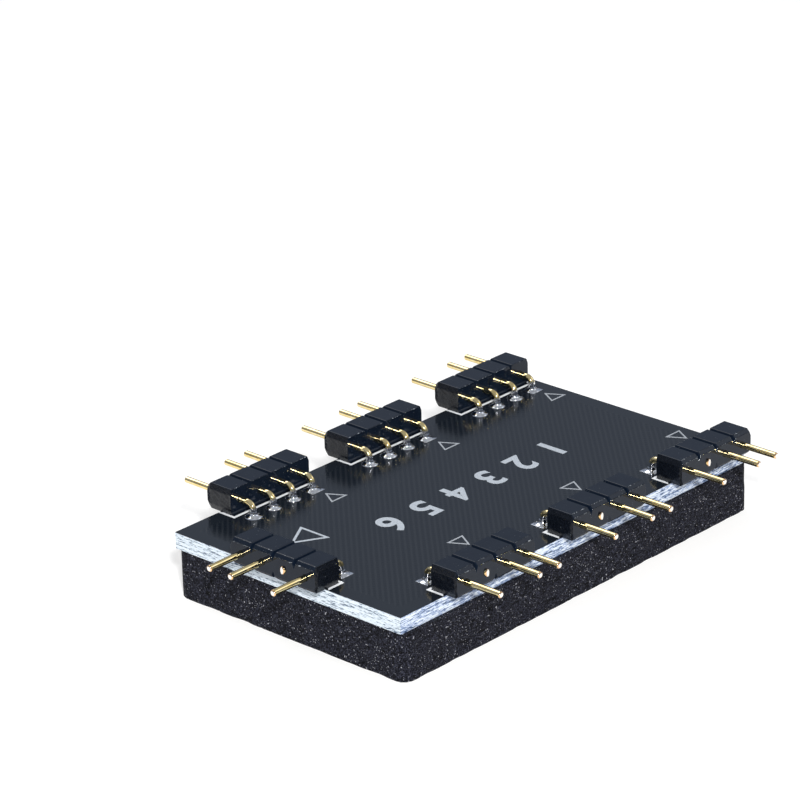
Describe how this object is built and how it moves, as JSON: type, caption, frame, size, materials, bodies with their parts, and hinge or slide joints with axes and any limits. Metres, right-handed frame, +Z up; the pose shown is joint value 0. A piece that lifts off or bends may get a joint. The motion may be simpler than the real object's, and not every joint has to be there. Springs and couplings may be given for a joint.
{
  "type": "lighting splitter hub",
  "caption": "Small black circuit board on a foam pad, with right-angle pin headers along its edges that split one lighting lead to several.",
  "frame": {"origin": "on the underside of the foam pad, below the middle of the board", "axes": "+X along the board away from the input header, +Y to the back row of outputs, +Z up"},
  "size_m": [0.0528, 0.0378, 0.0087],
  "materials": {
    "solder_mask": "black satin solder mask on glass-fibre laminate",
    "foam": "charcoal cellular foam",
    "header_plastic": "moulded black glass-filled plastic",
    "gold_plate": "bright gold plate",
    "solder": "bright solder"
  },
  "bodies": {
    "root": {"circuit_board": "solder_mask", "foam_pad": "foam", "input_housing": "header_plastic", "input_ground_pin": "gold_plate", "input_clipped_pin": "gold_plate", "input_data_pin": "gold_plate", "input_power_pin": "gold_plate", "input_solder_joints": "solder", "output_1_housing": "header_plastic", "output_1_ground_pin": "gold_plate", "output_1_clipped_pin": "gold_plate", "output_1_data_pin": "gold_plate", "output_1_power_pin": "gold_plate", "output_1_solder_joints": "solder", "output_2_housing": "header_plastic", "output_2_ground_pin": "gold_plate", "output_2_clipped_pin": "gold_plate", "output_2_data_pin": "gold_plate", "output_2_power_pin": "gold_plate", "output_2_solder_joints": "solder", "output_3_housing": "header_plastic", "output_3_ground_pin": "gold_plate", "output_3_clipped_pin": "gold_plate", "output_3_data_pin": "gold_plate", "output_3_power_pin": "gold_plate", "output_3_solder_joints": "solder", "output_4_housing": "header_plastic", "output_4_ground_pin": "gold_plate", "output_4_clipped_pin": "gold_plate", "output_4_data_pin": "gold_plate", "output_4_power_pin": "gold_plate", "output_4_solder_joints": "solder", "output_5_housing": "header_plastic", "output_5_ground_pin": "gold_plate", "output_5_clipped_pin": "gold_plate", "output_5_data_pin": "gold_plate", "output_5_power_pin": "gold_plate", "output_5_solder_joints": "solder", "output_6_housing": "header_plastic", "output_6_ground_pin": "gold_plate", "output_6_clipped_pin": "gold_plate", "output_6_data_pin": "gold_plate", "output_6_power_pin": "gold_plate", "output_6_solder_joints": "solder"}
  },
  "joints": []
}
